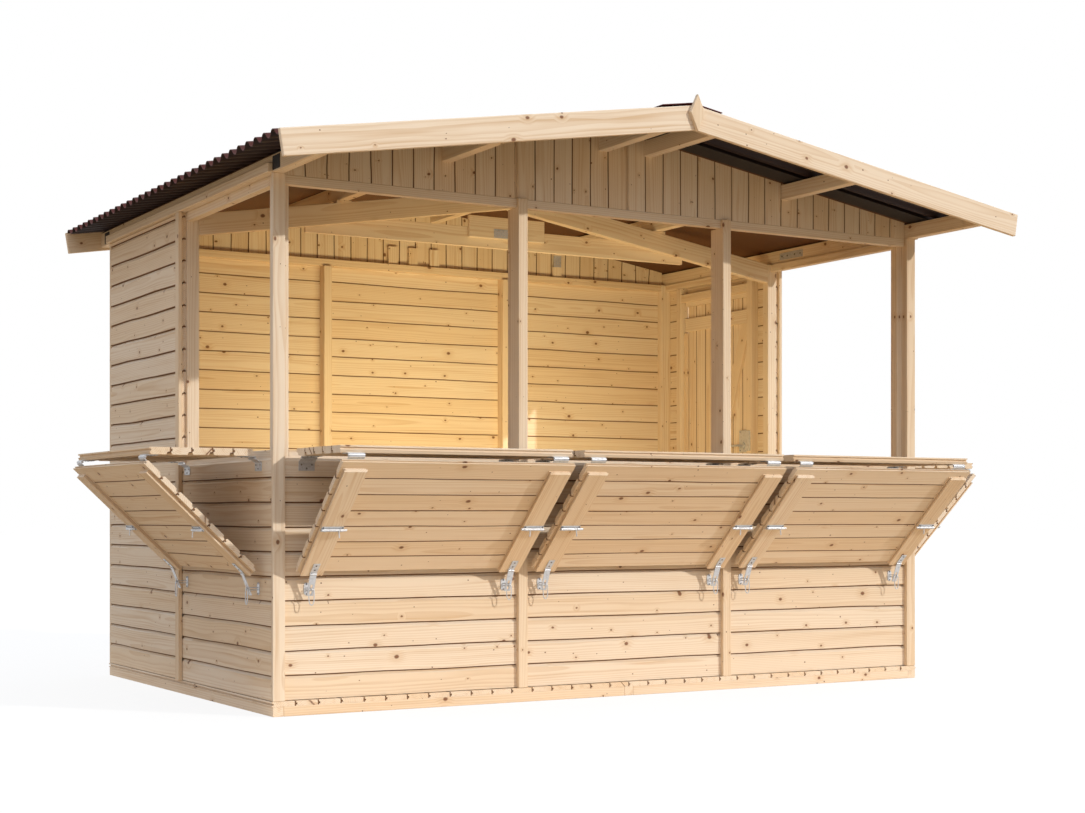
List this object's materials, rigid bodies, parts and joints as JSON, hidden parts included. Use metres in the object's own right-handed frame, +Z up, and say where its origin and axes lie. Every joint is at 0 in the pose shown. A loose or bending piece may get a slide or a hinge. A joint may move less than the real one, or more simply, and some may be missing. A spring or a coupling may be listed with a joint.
{
  "type": "wooden market stall",
  "caption": "Boarded timber market stall with a shallow corrugated roof, open serving bays, fold-down counters on hinged prop panels and a ledged door.",
  "frame": {"origin": "on the ground, in the middle of the corner posts' footprint", "axes": "+Z up, +X to the right along the front, -Y out of the front"},
  "size_m": [4.2686, 2.819, 2.511],
  "materials": {
    "timber": "planed softwood",
    "zinc_steel": "zinc plated",
    "roof_sheet": "matt brown",
    "underlay": "matt membrane"
  },
  "bodies": {
    "stall": {"base_joists": "timber", "base_runners": "timber", "corner_posts": "timber", "door_head": "timber", "door_jambs": "timber", "eave_trims": "timber", "fascias": "timber", "finials": "timber", "floor": "timber", "front_lintel": "timber", "front_posts": "timber", "gables": "timber", "left_rear_wall": "timber", "low_wall_rails": "timber", "low_walls": "timber", "purlin_blocks": "timber", "purlins": "timber", "rear_walls": "timber", "ridge_cap": "roof_sheet", "right_wall_over_door": "timber", "right_walls_beside_door": "timber", "roof_sheets": "roof_sheet", "roof_underlay": "underlay", "truss_collar": "timber", "truss_gusset": "timber", "truss_rafters": "timber", "wall_irons": "zinc_steel", "wall_plates": "timber", "wall_posts": "timber"},
    "front_left_counter": {"front_left_counter": "timber", "front_left_counter_irons": "zinc_steel"},
    "front_left_prop": {"front_left_prop": "timber", "front_left_prop_irons": "zinc_steel"},
    "front_left_hasps": {"front_left_hasps": "zinc_steel"},
    "front_middle_counter": {"front_middle_counter": "timber", "front_middle_counter_irons": "zinc_steel"},
    "front_middle_prop": {"front_middle_prop": "timber", "front_middle_prop_irons": "zinc_steel"},
    "front_middle_hasps": {"front_middle_hasps": "zinc_steel"},
    "front_right_counter": {"front_right_counter": "timber", "front_right_counter_irons": "zinc_steel"},
    "front_right_prop": {"front_right_prop": "timber", "front_right_prop_irons": "zinc_steel"},
    "front_right_hasps": {"front_right_hasps": "zinc_steel"},
    "end_left_counter": {"end_left_counter": "timber", "end_left_counter_irons": "zinc_steel"},
    "end_left_prop": {"end_left_prop": "timber", "end_left_prop_irons": "zinc_steel"},
    "end_left_hasps": {"end_left_hasps": "zinc_steel"},
    "end_right_counter": {"end_right_counter": "timber", "end_right_counter_irons": "zinc_steel"},
    "end_right_prop": {"end_right_prop": "timber", "end_right_prop_irons": "zinc_steel"},
    "end_right_hasps": {"end_right_hasps": "zinc_steel"},
    "door": {"door": "timber", "door_irons": "zinc_steel"}
  },
  "joints": [
    {"name": "front_left_counter_hinge", "type": "hinge", "parent": "stall", "child": "front_left_counter", "pos_m": [-1.0595, -1.068, 1.007], "axis": [-1, 0, 0], "range_deg": [0, 90]},
    {"name": "front_left_prop_hinge", "type": "hinge", "parent": "front_left_counter", "child": "front_left_prop", "pos_m": [-1.0595, -1.5125, 1.007], "axis": [-1, 0, 0], "range_deg": [0, 136.52]},
    {"name": "front_left_hasp_hinge", "type": "hinge", "parent": "front_left_prop", "child": "front_left_hasps", "pos_m": [-1.0595, -1.10987, 0.55308], "axis": [-1, 0, 0], "range_deg": [0, 150]},
    {"name": "front_middle_counter_hinge", "type": "hinge", "parent": "stall", "child": "front_middle_counter", "pos_m": [0, -1.068, 1.007], "axis": [-1, 0, 0], "range_deg": [0, 90]},
    {"name": "front_middle_prop_hinge", "type": "hinge", "parent": "front_middle_counter", "child": "front_middle_prop", "pos_m": [0, -1.5125, 1.007], "axis": [-1, 0, 0], "range_deg": [0, 136.52]},
    {"name": "front_middle_hasp_hinge", "type": "hinge", "parent": "front_middle_prop", "child": "front_middle_hasps", "pos_m": [0, -1.10987, 0.55308], "axis": [-1, 0, 0], "range_deg": [0, 150]},
    {"name": "front_right_counter_hinge", "type": "hinge", "parent": "stall", "child": "front_right_counter", "pos_m": [1.0595, -1.068, 1.007], "axis": [-1, 0, 0], "range_deg": [0, 90]},
    {"name": "front_right_prop_hinge", "type": "hinge", "parent": "front_right_counter", "child": "front_right_prop", "pos_m": [1.0595, -1.5125, 1.007], "axis": [-1, 0, 0], "range_deg": [0, 136.52]},
    {"name": "front_right_hasp_hinge", "type": "hinge", "parent": "front_right_prop", "child": "front_right_hasps", "pos_m": [1.0595, -1.10987, 0.55308], "axis": [-1, 0, 0], "range_deg": [0, 150]},
    {"name": "end_left_counter_hinge", "type": "hinge", "parent": "stall", "child": "end_left_counter", "pos_m": [-1.676, -0.494, 1.007], "axis": [0, 1, 0], "range_deg": [0, 90]},
    {"name": "end_left_prop_hinge", "type": "hinge", "parent": "end_left_counter", "child": "end_left_prop", "pos_m": [-2.1205, -0.494, 1.007], "axis": [0, 1, 0], "range_deg": [0, 136.52]},
    {"name": "end_left_hasp_hinge", "type": "hinge", "parent": "end_left_prop", "child": "end_left_hasps", "pos_m": [-1.71787, -0.494, 0.55308], "axis": [0, 1, 0], "range_deg": [0, 150]},
    {"name": "end_right_counter_hinge", "type": "hinge", "parent": "stall", "child": "end_right_counter", "pos_m": [1.676, -0.494, 1.007], "axis": [0, -1, 0], "range_deg": [0, 90]},
    {"name": "end_right_prop_hinge", "type": "hinge", "parent": "end_right_counter", "child": "end_right_prop", "pos_m": [2.1205, -0.494, 1.007], "axis": [0, -1, 0], "range_deg": [0, 136.52]},
    {"name": "end_right_hasp_hinge", "type": "hinge", "parent": "end_right_prop", "child": "end_right_hasps", "pos_m": [1.71787, -0.494, 0.55308], "axis": [0, -1, 0], "range_deg": [0, 150]},
    {"name": "door_hinge", "type": "hinge", "parent": "stall", "child": "door", "pos_m": [1.656, 0.804, 0], "axis": [0, 0, 1], "range_deg": [0, 110]}
  ]
}
